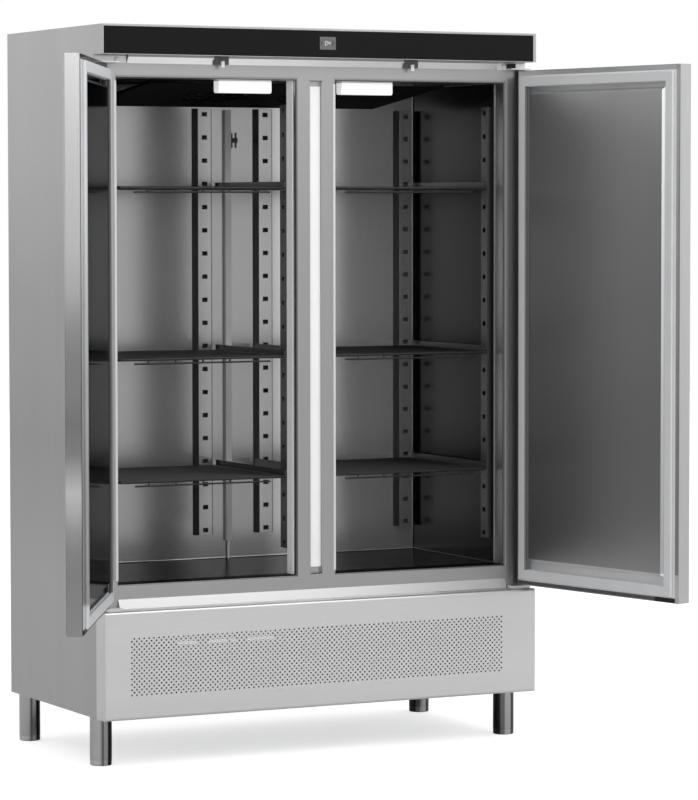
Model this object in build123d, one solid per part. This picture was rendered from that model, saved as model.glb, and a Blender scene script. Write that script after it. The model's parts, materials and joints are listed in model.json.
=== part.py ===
from build123d import *
import math
import os

# All sizes in millimetres. X is across the front, Y runs from front to rear, Z is up.
# The origin is on the floor, under the middle of the cabinet body.

# Body, from the floor up
body_width = 1370.0
body_depth = 640.0
leg_height = 138.0
unit_height = 304.0
sill_height = 70.0
opening_height = 1408.0
header_height = 62.0
fascia_height = 83.0
front_projection = 65.0
side_wall = 72.0
rear_wall = 80.0
floor_step = 2.0
ceiling_step = 5.0
roof_gap = 2.0
casing_sheet = 1.5
liner_sheet = 1.0
liner_corner_radius = 4.0

# Clearances
moving_gap = 0.3
pin_clearance = 0.05
seat_gap = 0.2

# Front frame and mullion
frame_depth = 55.0
frame_sheet = 1.5
frame_edge_radius = 8.0
stile_width = 70.0
mullion_width = 130.0
mullion_recess_width = 38.0
mullion_recess_depth = 12.0
heater_strip_thickness = 3.0
heater_strip_low = 20.0
heater_strip_high = 16.0
sill_slope_depth = 12.0
header_slope_depth = 12.0
header_slope_height = 18.0
mullion_trim_start = 16.0
mullion_trim_width = 38.0
mullion_trim_thickness = 2.0

# Shelf uprights
slot_pitch = 68.8
slot_start = 86.0
slot_count = 19
slot_width = 17.0
slot_height = 13.0
upright_sheet = 1.5
upright_below = 15.0
upright_above = 17.0
rear_upright_spacing = 200.0
rear_upright_outer = 37.0
rear_upright_base = 66.0
rear_upright_face = 42.0
rear_upright_depth = 20.0
side_upright_width = 36.0
side_upright_depth = 15.0
side_upright_setback = 15.0
mullion_upright_depth = 48.0
mullion_upright_inset = 1.0
mullion_slot_inset = 18.0

# Shelves and runners
shelf_rows = (3, 8, 15)
shelf_drop = 14.0
shelf_width = 514.0
shelf_depth = 485.0
shelf_side_gap = 9.0
shelf_front_setback = 50.0
shelf_frame_radius = 4.0
shelf_wire_radius = 2.0
shelf_cross_radius = 2.5
shelf_wire_count = 18
shelf_cross_count = 3
shelf_front_drop = 12.0
shelf_post_count = 5
runner_sheet = 1.5
runner_ledge = 15.0
runner_rise = 24.0

# Doors
door_edge_gap = 2.0
door_centre_gap = 4.0
door_sill_gap = 9.0
door_lap_top = 38.0
door_thickness = 43.0
door_sheet = 1.2
door_edge_radius = 5.0
door_inner_sheet = 1.0
gasket_depth = 15.0
gasket_setback = 15.0
gasket_width = 33.0
panel_border_side = 56.0
panel_border_top = 62.0
panel_border_bottom = 70.0
panel_rise = 10.0
panel_bevel = 8.0
pivot_inset = 16.0
pivot_forward = 26.0
pivot_pin_radius = 4.0
pivot_pin_length = 18.0
pivot_block_reach = 18.0
pivot_block_height = 25.0
door_open_left = 119.2
door_open_right = 101.5

# Hinge brackets
bracket_gap = 2.0
bracket_plate = 4.0
bracket_length = 62.0
bracket_forward = 12.0
bracket_flange_length = 95.0
bracket_flange_height = 20.0
bracket_flange = 3.0

# Control housing, fascia, controller
fascia_margin_left = 3.0
fascia_margin_right = 9.0
fascia_margin_top = 6.0
fascia_margin_bottom = 1.5
fascia_thickness = 4.0
controller_x = 5.0
controller_width = 50.0
controller_height = 36.0
controller_bezel = 2.0
controller_flange = 3.0
controller_depth = 45.0
display_width = 28.0
display_height = 20.0
display_recess = 1.0
key_width = 6.0
key_height = 10.0
key_thickness = 3.0
key_proud = 1.0
key_travel = 0.8
key_offset = 18.5

# Door switches
switch_x = 301.0
switch_width = 45.0
switch_height = 21.5
switch_depth = 12.0
paddle_width = 10.0
paddle_height = 18.0
paddle_thickness = 2.0
paddle_reach = 21.7
paddle_drop = 8.0
stem_width = 7.0
stem_height = 6.0
stem_length = 11.0

# Lower panel
grille_left = 79.0
grille_right = 113.0
grille_bottom = 66.0
grille_top = 74.0
hole_pitch = 15.0
hole_radius = 2.5
panel_edge_radius = 8.0

# Legs and feet
leg_inset_x = 37.0
leg_inset_front = 58.0
leg_inset_rear = 52.0
leg_radius = 31.0
leg_wall = 2.0
foot_height = 16.0
foot_radius = 30.5
foot_stem_radius = 8.0
foot_stem_length = 60.0
leg_plug_height = 20.0
leg_cap_height = 3.0

# Ceiling evaporator
cover_half_width = 470.0
cover_front = 40.0
cover_rear_gap = 5.0
cover_front_drop = 14.0
cover_rear_drop = 67.0
cover_lip = 8.0
cover_sheet = 1.5
fan_x = 155.0
fan_centre = 255.0
fan_opening_radius = 95.0
evaporator_blade_radius = 90.0
guard_rings = 4
guard_wire_radius = 1.3
guard_bars = 8
coil_half_width = 430.0
coil_depth = 90.0
coil_height = 34.0
coil_fin_pitch = 20.0
coil_fin_thickness = 1.0
coil_tube_radius = 4.0
coil_rows = 3

# Fan rotors
blade_count = 5
blade_hub_radius = 17.0
blade_hub_height = 14.0
blade_thickness = 1.6
blade_pitch_angle = 26.0
blade_chord = 36.0
motor_radius = 20.0
motor_height = 12.0
motor_shaft_radius = 2.0
motor_strap_width = 14.0

# Lamps
lamp_inner_x = 112.0
lamp_length = 165.0
lamp_setback = 3.0
lamp_depth = 34.0
lamp_height = 34.0
lamp_base_height = 7.0
lamp_wall = 2.0

# Conduit, drain and probe
conduit_x = -18.5
conduit_width = 19.0
conduit_depth = 12.0
conduit_sheet = 1.0
conduit_below = 50.0
drain_radius = 4.0
drain_below = 220.0
probe_x = 5.0
probe_z_drop = 165.0
probe_radius = 3.0
probe_length = 45.0
probe_clip = 14.0

# Machine compartment
compressor_x = -330.0
compressor_y = 110.0
compressor_radius = 88.0
compressor_height = 165.0
compressor_foot = 6.0
compressor_foot_length = 230.0
compressor_foot_width = 130.0
condenser_x = 150.0
condenser_width = 420.0
condenser_height = 230.0
condenser_depth = 66.0
condenser_setback = 30.0
condenser_fin_pitch = 14.0
condenser_fin_thickness = 1.0
condenser_tube_radius = 4.5
condenser_rows = 5
shroud_depth = 36.0
shroud_sheet = 2.0
condenser_fan_radius = 100.0
condenser_blade_gap = 6.0
condenser_motor_radius = 32.0
condenser_motor_height = 55.0
tray_x = 150.0
tray_y = 225.0
tray_width = 420.0
tray_depth = 130.0
tray_height = 55.0
tray_wall = 2.5
box_x = -560.0
box_y = 235.0
box_width = 150.0
box_depth = 80.0
box_height = 180.0
inlet_width = 48.0
inlet_height = 28.0
inlet_depth = 20.0
pipe_radius = 4.0
pipe_bend = 18.0
pipe_foam_x = 330.0
pipe_foam_y = 36.0
pipe_clearance = 0.5
drier_radius = 11.0
drier_length = 110.0
vent_rows = 6
vent_columns = 5
vent_length = 90.0
vent_height = 8.0
vent_pitch_x = 130.0
vent_pitch_z = 26.0

# Levels and planes that the pieces share
half_width = body_width / 2
front_y = -body_depth / 2
rear_y = body_depth / 2
unit_top_z = leg_height + unit_height
sill_z = unit_top_z + sill_height
lintel_z = sill_z + opening_height
header_z = lintel_z + header_height
top_z = header_z + fascia_height
face_y = front_y - front_projection
casing_inner = half_width - casing_sheet
casing_rear = rear_y - casing_sheet
liner_half = half_width - side_wall
liner_front = front_y + frame_depth
liner_rear = rear_y - rear_wall
liner_floor = sill_z - floor_step
liner_ceiling = lintel_z + ceiling_step
insulation_top = header_z - roof_gap
opening_outer = half_width - stile_width
opening_inner = mullion_width / 2
slot_first_z = sill_z + slot_start
slot_last_z = slot_first_z + slot_pitch * (slot_count - 1)
upright_low = slot_first_z - upright_below
upright_high = slot_last_z + upright_above
rear_face = liner_rear - rear_upright_depth
door_outer = half_width - door_edge_gap
door_inner = door_centre_gap / 2
door_low = unit_top_z + door_sill_gap
door_high = lintel_z + door_lap_top
door_back = front_y - gasket_depth
door_front = door_back - door_thickness
pivot_x = half_width - pivot_inset
pivot_y = front_y - pivot_forward
cover_length = liner_rear - cover_rear_gap - liner_front - cover_front
cover_angle = math.degrees(math.atan((cover_rear_drop - cover_front_drop) / cover_length))
conduit_back = liner_rear - conduit_depth


def block(x_low, x_high, y_low, y_high, z_low, z_high):
    size = Box(x_high - x_low, y_high - y_low, z_high - z_low)
    return Pos((x_low + x_high) / 2, (y_low + y_high) / 2, (z_low + z_high) / 2) * size


def rod(start, end, radius):
    line = Vector(*end) - Vector(*start)
    base = Plane(origin=Vector(*start), z_dir=line)
    return base * Cylinder(radius, line.length, align=(Align.CENTER, Align.CENTER, Align.MIN))


def upright_rod(x, y, z_low, z_high, radius):
    return rod((x, y, z_low), (x, y, z_high), radius)


def mirrored(shape):
    return mirror(shape, about=Plane.YZ)


def group(shapes):
    return Compound(children=[piece for shape in shapes for piece in shape.solids()])


def slot_levels():
    return [slot_first_z + slot_pitch * row for row in range(slot_count)]


# Outer casing

def side_panel(side):
    panel = block(casing_inner, half_width, front_y, rear_y, leg_height, top_z)
    return panel if side > 0 else mirrored(panel)


def back_panel():
    panel = block(-casing_inner, casing_inner, casing_rear, rear_y, leg_height, top_z)
    vents = []
    middle_z = leg_height + unit_height / 2
    for row in range(vent_rows):
        for column in range(vent_columns):
            x = (column - (vent_columns - 1) / 2) * vent_pitch_x
            z = middle_z + (row - (vent_rows - 1) / 2) * vent_pitch_z
            half = vent_length / 2
            vents.append(block(x - half, x + half, casing_rear - 1, rear_y + 1,
                               z - vent_height / 2, z + vent_height / 2))
    window = inlet_block(seat_gap, casing_rear - 1, rear_y + 1)
    return panel - vents - window


def inlet_block(extra, y_low, y_high):
    z = leg_height + unit_height / 2
    half_x = inlet_width / 2 + extra
    half_z = inlet_height / 2 + extra
    return block(box_x - half_x, box_x + half_x, y_low, y_high, z - half_z, z + half_z)


def roof_panel():
    return block(-casing_inner, casing_inner, front_y, casing_rear, top_z - casing_sheet, top_z)


def base_tray():
    return block(-casing_inner, casing_inner, front_y, casing_rear,
                 leg_height, leg_height + casing_sheet)


# Insulated walls

def wall_insulation():
    low = liner_floor - liner_sheet
    inner = liner_half + liner_sheet
    back = liner_rear + liner_sheet
    left = block(-casing_inner, -inner, liner_front, casing_rear, low, insulation_top)
    rear = block(-inner, inner, back, casing_rear, low, insulation_top)
    ceiling = block(-inner, inner, liner_front, back, liner_ceiling + liner_sheet, insulation_top)
    floor = block(-casing_inner, casing_inner, liner_front, casing_rear, unit_top_z, low)
    passage = [suction_line(pipe_radius + pipe_clearance), liquid_line(pipe_radius + pipe_clearance)]
    drain = upright_rod(conduit_x, drain_y(), unit_top_z - 1, low + 1, drain_radius + pipe_clearance)
    return group([left, mirrored(left), rear - passage, ceiling,
                  floor - passage - drain])


def cabinet_liner():
    outer = block(-liner_half - liner_sheet, liner_half + liner_sheet, liner_front,
                  liner_rear + liner_sheet, liner_floor - liner_sheet, liner_ceiling + liner_sheet)
    inner = block(-liner_half, liner_half, liner_front, liner_rear, liner_floor, liner_ceiling)
    outer = fillet(rear_edges(outer), liner_corner_radius + liner_sheet)
    inner = fillet(rear_edges(inner), liner_corner_radius)
    drain = upright_rod(conduit_x, drain_y(), liner_floor - liner_sheet - 1,
                        liner_floor + liner_corner_radius, drain_radius + pipe_clearance)
    passage = [suction_line(pipe_radius + pipe_clearance), liquid_line(pipe_radius + pipe_clearance)]
    return outer - inner - drain - passage


def rear_edges(shape):
    front = shape.faces().sort_by(Axis.Y)[0]
    front_edges = front.edges()
    return [edge for edge in shape.edges() if not any(edge.is_same(other) for other in front_edges)]


# Front frame, mullion and their trims

def frame_space(inset):
    """The welded frame with its two openings, shrunk on every side by the inset."""
    shape = block(-casing_inner + inset, casing_inner - inset, front_y + inset, liner_front - inset,
                  unit_top_z + inset, header_z - inset)
    opening = block(opening_inner - inset, opening_outer + inset, front_y - 1, liner_front + 1,
                    sill_z - inset, lintel_z + inset)
    shape = shape - opening - mirrored(opening)
    front = shape.faces().sort_by(Axis.Y)[0]
    edges = [edge for wire in front.inner_wires() for edge in wire.edges()]
    return fillet(edges, frame_edge_radius - inset)


def mullion_zone():
    return block(-opening_inner, opening_inner, front_y - 1, liner_front + 1, sill_z, lintel_z)


def ledge(profile, pieces):
    """A wedge along the frame's front, kept only over the given X ranges."""
    face = Plane.YZ * make_face(Polyline(*profile, close=True))
    return [Pos(x_low, 0, 0) * extrude(face, x_high - x_low, dir=(1, 0, 0)) for x_low, x_high in pieces]


def front_frame():
    shape = frame_space(0) - frame_space(frame_sheet) - mullion_zone()
    reach = half_width - door_edge_gap - bracket_length - bracket_gap
    low = [(front_y, door_low + gasket_setback - moving_gap), (front_y - sill_slope_depth, unit_top_z),
           (front_y, unit_top_z)]
    shape += ledge(low, [(-reach, reach)])
    start = door_high + bracket_gap
    high = [(front_y, start), (front_y - header_slope_depth, start + header_slope_height),
            (front_y - header_slope_depth, header_z), (front_y, header_z)]
    reach = half_width - door_edge_gap - bracket_flange_length - bracket_gap
    gap_low = switch_x - switch_width / 2 - seat_gap
    gap_high = switch_x + switch_width / 2 + seat_gap
    shape += ledge(high, [(-reach, -gap_high), (-gap_low, gap_low), (gap_high, reach)])
    return shape


def mullion():
    tube = (frame_space(0) - frame_space(frame_sheet)) & mullion_zone()
    half = mullion_recess_width / 2
    t = frame_sheet
    bed = block(-half - t, half + t, front_y, front_y + mullion_recess_depth + t, sill_z, lintel_z)
    groove = block(-half, half, front_y - 1, front_y + mullion_recess_depth, sill_z - 1, lintel_z + 1)
    return tube + bed - groove


def mullion_strip():
    half = mullion_recess_width / 2 - seat_gap
    bottom = front_y + mullion_recess_depth
    strip = block(-half, half, bottom - heater_strip_thickness, bottom,
                  sill_z + heater_strip_low, lintel_z - heater_strip_high)
    return fillet(strip.edges().filter_by(Axis.Z).group_by(Axis.Y)[0], heater_strip_thickness / 3)


def mullion_trims():
    y_low = front_y + mullion_trim_start
    trim = block(opening_inner, opening_inner + mullion_trim_thickness, y_low,
                 y_low + mullion_trim_width, sill_z, lintel_z)
    return group([trim, mirrored(trim)])


# Slotted uprights and shelf runners

def rear_upright(x):
    base = rear_upright_base / 2
    face = rear_upright_face / 2
    t = upright_sheet
    outer = Polyline((x - base, liner_rear), (x - face, rear_face), (x + face, rear_face),
                     (x + base, liner_rear), close=True)
    inner = Polyline((x - base + 2 * t, liner_rear), (x - face + t, rear_face + t),
                     (x + face - t, rear_face + t), (x + base - 2 * t, liner_rear), close=True)
    section = make_face(outer) - make_face(inner)
    hat = Pos(0, 0, upright_low) * extrude(section, upright_high - upright_low)
    slots = [block(x - slot_width / 2, x + slot_width / 2, rear_face - 1, rear_face + t + 1,
                   z - slot_height / 2, z + slot_height / 2) for z in slot_levels()]
    return hat - slots


def side_upright():
    t = upright_sheet
    y_low = liner_front + side_upright_setback
    y_high = y_low + side_upright_width
    x_face = liner_half - side_upright_depth
    channel = block(x_face, liner_half, y_low, y_high, upright_low, upright_high)
    hollow = block(x_face + t, liner_half + 1, y_low + t, y_high - t, upright_low - 1, upright_high + 1)
    middle = (y_low + y_high) / 2
    slots = [block(x_face - 1, x_face + t + 1, middle - slot_width / 2, middle + slot_width / 2,
                   z - slot_height / 2, z + slot_height / 2) for z in slot_levels()]
    return channel - hollow - slots


def mullion_upright():
    t = upright_sheet
    half = opening_inner - mullion_upright_inset
    y_low = liner_front
    y_high = y_low + mullion_upright_depth
    channel = block(-half, half, y_low, y_high, upright_low, upright_high)
    hollow = block(-half + t, half - t, y_low - 1, y_high - t, upright_low - 1, upright_high + 1)
    middle = y_high - mullion_slot_inset
    slots = [block(-half - 1, half + 1, middle - slot_width / 2, middle + slot_width / 2,
                   z - slot_height / 2, z + slot_height / 2) for z in slot_levels()]
    return channel - hollow - slots


def shelf_uprights():
    outer_x = liner_half - rear_upright_outer
    inner_x = rear_upright_spacing / 2
    rear_outer = rear_upright(outer_x)
    rear_inner = rear_upright(inner_x)
    front = side_upright()
    return group([rear_outer, mirrored(rear_outer), rear_inner, mirrored(rear_inner),
                  front, mirrored(front), mullion_upright()])


def shelf_level(row):
    return slot_first_z + slot_pitch * row - shelf_drop


def shelf_runners():
    t = runner_sheet
    y_low = liner_front + side_upright_setback
    y_high = rear_face - seat_gap
    inner_x = opening_inner - mullion_upright_inset + seat_gap
    outer_x = liner_half - side_upright_depth - seat_gap
    runners = []
    for row in shelf_rows:
        ledge_top = shelf_level(row) - shelf_frame_radius - moving_gap
        low = ledge_top - t
        inner = block(inner_x, inner_x + t, y_low, y_high, low, low + runner_rise)
        inner += block(inner_x, inner_x + runner_ledge, y_low, y_high, low, ledge_top)
        outer = block(outer_x - t, outer_x, y_low, y_high, low, low + runner_rise)
        outer += block(outer_x - runner_ledge, outer_x, y_low, y_high, low, ledge_top)
        runners += [inner, outer, mirrored(inner), mirrored(outer)]
    return group(runners)


def wire_shelf():
    """One right-hand shelf, with the top of its frame centred on level zero."""
    x_low = opening_inner + shelf_side_gap
    x_high = x_low + shelf_width
    y_low = front_y + shelf_front_setback
    y_high = y_low + shelf_depth
    r = shelf_frame_radius
    left, right = x_low + r, x_high - r
    front, rear = y_low + r, y_high - r
    rods = [rod((left, front, 0), (right, front, 0), r), rod((left, rear, 0), (right, rear, 0), r),
            rod((left, front, 0), (left, rear, 0), r), rod((right, front, 0), (right, rear, 0), r)]
    rods += [Pos(x, y, 0) * Sphere(r) for x in (left, right) for y in (front, rear)]
    wire_z = shelf_frame_radius - shelf_wire_radius
    for index in range(shelf_wire_count):
        y = front + (rear - front) * (index + 1) / (shelf_wire_count + 1)
        rods.append(rod((left, y, wire_z), (right, y, wire_z), shelf_wire_radius))
    cross_z = wire_z - shelf_cross_radius
    for index in range(shelf_cross_count):
        x = left + (right - left) * (index + 1) / (shelf_cross_count + 1)
        rods.append(rod((x, front, cross_z), (x, rear, cross_z), shelf_cross_radius))
    post_step = (right - left) / (shelf_post_count + 1)
    for index in range(shelf_post_count):
        x = left + post_step * (index + 1)
        rods.append(upright_rod(x, front, -shelf_front_drop, 0, shelf_cross_radius))
    low = -shelf_front_drop
    rods.append(rod((left + post_step / 2, front, low), (right - post_step / 2, front, low),
                    shelf_cross_radius))
    return Part() + rods


# Doors, drawn closed on the left and then turned about their pivots

def door_space(inset, y_low, y_high):
    shape = block(-door_outer + inset, -door_inner - inset, y_low, y_high,
                  door_low + inset, door_high - inset)
    radius = door_edge_radius - inset
    if radius <= 0:
        return shape
    front = shape.faces().sort_by(Axis.Y)[0]
    return fillet(front.edges(), radius)


def raised_tray(inset, y_low):
    shape = block(-door_outer + panel_border_side + inset, -door_inner - panel_border_side - inset,
                  y_low, door_back + panel_rise - inset,
                  door_low + panel_border_bottom + inset, door_high - panel_border_top - inset)
    rear = shape.faces().sort_by(Axis.Y)[-1]
    return chamfer(rear.edges(), panel_bevel)


def pivot_blocks():
    x_high = -pivot_x + pivot_block_reach
    plate_back = door_back - door_inner_sheet
    shapes = []
    for z_low in (door_low + door_sheet, door_high - door_sheet - pivot_block_height):
        shapes.append(block(-door_outer + door_sheet, x_high, door_front + door_edge_radius,
                            plate_back, z_low, z_low + pivot_block_height))
    return shapes


def pivot_bores():
    depth = pivot_pin_length + bracket_gap
    radius = pivot_pin_radius + pin_clearance
    return [upright_rod(-pivot_x, pivot_y, door_low - 1, door_low + depth, radius),
            upright_rod(-pivot_x, pivot_y, door_high - depth, door_high + 1, radius)]


def door_skin():
    shell = door_space(0, door_front, door_back)
    shell -= door_space(door_sheet, door_front + door_sheet, door_back + 1)
    return shell + pivot_blocks() - pivot_bores()


def door_insulation():
    plate_back = door_back - door_inner_sheet
    core = door_space(door_sheet, door_front + door_sheet, plate_back)
    tray = raised_tray(door_inner_sheet, plate_back - 1)
    blocks = pivot_blocks()
    return core + tray - blocks - pivot_bores()


def door_inner_panel():
    plate_back = door_back - door_inner_sheet
    edge = door_sheet + seat_gap
    plate = block(-door_outer + edge, -door_inner - edge, plate_back, door_back,
                  door_low + edge, door_high - edge)
    return plate + raised_tray(0, plate_back) - raised_tray(door_inner_sheet, plate_back - 1)


def door_gasket():
    y_high = front_y - moving_gap
    outer = block(-door_outer + gasket_setback, -door_inner - gasket_setback, door_back, y_high,
                  door_low + gasket_setback, door_high - gasket_setback)
    inset = gasket_setback + gasket_width
    inner = block(-door_outer + inset, -door_inner - inset, door_back - 1, y_high + 1,
                  door_low + inset, door_high - inset)
    return outer - inner


def opened(shape, side):
    if side > 0:
        shape = mirrored(shape)
    angle = door_open_right if side > 0 else -door_open_left
    pivot = Pos(side * pivot_x, pivot_y, 0)
    return pivot * Rot(0, 0, angle) * pivot.inverse() * shape


def hinge_brackets():
    x_low = -half_width + door_edge_gap
    x_high = x_low + bracket_length
    y_low = pivot_y - bracket_forward
    top = door_high + bracket_gap
    upper = block(x_low, x_high, y_low, front_y, top, top + bracket_plate)
    upper += block(x_low, x_low + bracket_flange_length, front_y - bracket_flange, front_y,
                   top, top + bracket_flange_height)
    upper += upright_rod(-pivot_x, pivot_y, door_high - pivot_pin_length, top + 1, pivot_pin_radius)
    bottom = door_low - bracket_gap
    lower = block(x_low, x_high, y_low, front_y, unit_top_z, bottom)
    lower += upright_rod(-pivot_x, pivot_y, bottom - 1, door_low + pivot_pin_length, pivot_pin_radius)
    return group([upper, lower, mirrored(upper), mirrored(lower)])


# Control housing and controller

def fascia_block(extra, y_low, y_high):
    return block(-half_width + fascia_margin_left + extra, half_width - fascia_margin_right - extra,
                 y_low, y_high, header_z + fascia_margin_bottom + extra, top_z - fascia_margin_top - extra)


def control_housing():
    t = casing_sheet
    outer = block(-half_width, half_width, face_y, front_y, header_z, top_z)
    inner = block(-half_width + t, half_width - t, face_y + t, front_y + 1, header_z + t, top_z - t)
    return outer - inner - fascia_block(0, face_y - 1, face_y + t + 1)


def controller_z():
    return header_z + fascia_height / 2


def control_fascia():
    plate = fascia_block(seat_gap, face_y, face_y + fascia_thickness)
    return plate - controller_core(seat_gap, face_y - 1, face_y + fascia_thickness + 1)


def controller_core(extra, y_low, y_high):
    half_x = controller_width / 2 - controller_flange + extra
    half_z = controller_height / 2 - controller_flange + extra
    middle = controller_z()
    return block(controller_x - half_x, controller_x + half_x, y_low, y_high,
                 middle - half_z, middle + half_z)


def key_block(offset, extra, y_low, y_high):
    x = controller_x + offset
    half_x = key_width / 2 + extra
    half_z = key_height / 2 + extra
    middle = controller_z()
    return block(x - half_x, x + half_x, y_low, y_high, middle - half_z, middle + half_z)


def controller():
    half_x = controller_width / 2
    half_z = controller_height / 2
    middle = controller_z()
    bezel_face = face_y - controller_bezel
    bezel = block(controller_x - half_x, controller_x + half_x, bezel_face, face_y,
                  middle - half_z, middle + half_z)
    bezel = fillet(bezel.edges().filter_by(Axis.Y), controller_bezel)
    body = controller_core(0, face_y - 1, face_y + controller_depth)
    window = block(controller_x - display_width / 2, controller_x + display_width / 2,
                   bezel_face - 1, bezel_face + display_recess,
                   middle - display_height / 2, middle + display_height / 2)
    pocket_end = bezel_face + key_thickness - key_proud + key_travel + moving_gap
    pockets = [key_block(side * key_offset, moving_gap, bezel_face - 1, pocket_end) for side in (-1, 1)]
    return bezel + body - window - pockets


def controller_key(side):
    front = face_y - controller_bezel - key_proud
    return key_block(side * key_offset, 0, front, front + key_thickness)


# Door switches

def switch_base_z():
    return door_high + bracket_gap


def switch_housings():
    low = switch_base_z()
    housing = block(switch_x - switch_width / 2, switch_x + switch_width / 2,
                    front_y - switch_depth, front_y, low, low + switch_height)
    housing = housing - stem_block(moving_gap, front_y - switch_depth - 1, front_y - moving_gap)
    return group([housing, mirrored(housing)])


def stem_block(extra, y_low, y_high):
    middle = switch_base_z() + stem_height
    half_x = stem_width / 2 + extra
    half_z = stem_height / 2 + extra
    return block(switch_x - half_x, switch_x + half_x, y_low, y_high, middle - half_z, middle + half_z)


def switch_plunger(side):
    tip = front_y - paddle_reach
    low = switch_base_z() - paddle_drop
    paddle = block(switch_x - paddle_width / 2, switch_x + paddle_width / 2,
                   tip, tip + paddle_thickness, low, low + paddle_height)
    plunger = paddle + stem_block(0, tip + paddle_thickness / 2, tip + paddle_thickness + stem_length)
    return plunger if side > 0 else mirrored(plunger)


# Lower panel

def grille_holes():
    x_low = -half_width + grille_left
    x_high = half_width - grille_right
    z_low = leg_height + grille_bottom
    z_high = unit_top_z - grille_top
    step = hole_pitch / 2
    columns = int((x_high - x_low) / step) + 1
    rows = int((z_high - z_low) / step) + 1
    x_start = (x_low + x_high - step * (columns - 1)) / 2
    z_start = (z_low + z_high - step * (rows - 1)) / 2
    return [(x_start + step * column, z_start + step * row)
            for row in range(rows) for column in range(row % 2, columns, 2)]


def lower_panel():
    t = casing_sheet
    outer = block(-half_width, half_width, face_y, front_y, leg_height, unit_top_z)
    outer = fillet(outer.faces().sort_by(Axis.Y)[0].edges().filter_by(Axis.X), panel_edge_radius)
    inner = block(-half_width + t, half_width - t, face_y + t, front_y + 1, leg_height + t, unit_top_z - t)
    inner = fillet(inner.faces().sort_by(Axis.Y)[0].edges().filter_by(Axis.X), panel_edge_radius - t)
    tray = outer - inner
    points = grille_holes()
    margin = hole_pitch
    x_values = [x for x, z in points]
    z_values = [z for x, z in points]
    x_low, x_high = min(x_values) - margin, max(x_values) + margin
    z_low, z_high = min(z_values) - margin, max(z_values) + margin
    tray -= block(x_low, x_high, face_y - 1, face_y + t + 1, z_low, z_high)
    sheet = Plane(origin=(0, face_y + t, 0), x_dir=(1, 0, 0), z_dir=(0, -1, 0))
    outline = Wire.make_polygon([sheet.from_local_coords(point) for point in
                                 ((x_low, z_low), (x_high, z_low), (x_high, z_high), (x_low, z_high))])
    circles = [Wire.make_circle(hole_radius, Plane(origin=sheet.from_local_coords(point),
                                                   z_dir=(0, -1, 0))) for point in points]
    plate = extrude(Face(outline, circles), t, dir=(0, -1, 0))
    return tray + plate


# Legs and levelling feet

def leg_points():
    x = half_width - leg_inset_x
    front = front_y + leg_inset_front
    rear = rear_y - leg_inset_rear
    return {"front_left": (-x, front), "front_right": (x, front), "rear_left": (-x, rear), "rear_right": (x, rear)}


def legs():
    shapes = []
    stem_bore = foot_stem_radius + pin_clearance
    for x, y in leg_points().values():
        tube = upright_rod(x, y, foot_height + moving_gap, leg_height, leg_radius)
        hollow = upright_rod(x, y, foot_height + moving_gap + leg_plug_height,
                             leg_height - leg_cap_height, leg_radius - leg_wall)
        bore = upright_rod(x, y, 0, foot_height + foot_stem_length, stem_bore)
        shapes.append(tube - hollow - bore)
    return group(shapes)


def levelling_foot(point):
    x, y = point
    pad = upright_rod(x, y, 0, foot_height, foot_radius)
    pad = chamfer(pad.edges().sort_by(Axis.Z)[0], foot_height / 8)
    return pad + upright_rod(x, y, foot_height - 1, foot_height + foot_stem_length, foot_stem_radius)


# Ceiling evaporator, drawn flat and then tilted down towards the rear

def tilted(shape):
    hinge = Pos(0, liner_front + cover_front, liner_ceiling - cover_front_drop)
    return hinge * Rot(-cover_angle, 0, 0) * shape


def evaporator_cover():
    length = cover_length / math.cos(math.radians(cover_angle))
    plate = block(-cover_half_width, cover_half_width, 0, length, 0, cover_sheet)
    lips = [block(side * cover_half_width - (cover_sheet if side > 0 else 0),
                  side * cover_half_width + (0 if side > 0 else cover_sheet),
                  cover_lip, length, 0, cover_lip) for side in (-1, 1)]
    cover = plate + lips
    for side in (-1, 1):
        cover -= upright_rod(side * fan_x, fan_centre, -1, cover_sheet + 1, fan_opening_radius)
        cover += fan_guard(side)
    return tilted(cover)


def fan_guard(side):
    edge = fan_opening_radius + guard_wire_radius * 2
    wires = [Torus(edge * (index + 1) / guard_rings, guard_wire_radius) for index in range(guard_rings)]
    for index in range(guard_bars):
        angle = math.pi * 2 * index / guard_bars
        wires.append(rod((0, 0, 0), (edge * math.cos(angle), edge * math.sin(angle), 0),
                         guard_wire_radius))
    return Pos(side * fan_x, fan_centre, 0) * (Part() + wires)


def rotor(radius, shaft_radius):
    """A rotor about its own Z axis, with the bottom of its hub at zero."""
    hub = Cylinder(blade_hub_radius, blade_hub_height, align=(Align.CENTER, Align.CENTER, Align.MIN))
    inner = blade_hub_radius - 3
    blade = Pos((radius + inner) / 2, 0, 0) * Box(radius - inner, blade_chord, blade_thickness)
    blade = Rot(blade_pitch_angle, 0, 0) * blade
    sweep_limit = Cylinder(radius, blade_hub_height, align=(Align.CENTER, Align.CENTER, Align.MIN))
    blades = [Rot(0, 0, 360 / blade_count * index) * (Pos(0, 0, blade_hub_height / 2) * blade)
              for index in range(blade_count)]
    limited = [blade & sweep_limit for blade in blades]
    bore = Cylinder(shaft_radius + pin_clearance, blade_hub_height * 3)
    return Part() + [hub] + limited - bore


def blade_base():
    return cover_sheet + guard_wire_radius


def evaporator_blade(side):
    placed = Pos(side * fan_x, fan_centre, blade_base())
    return tilted(placed * rotor(evaporator_blade_radius, motor_shaft_radius))


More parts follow.
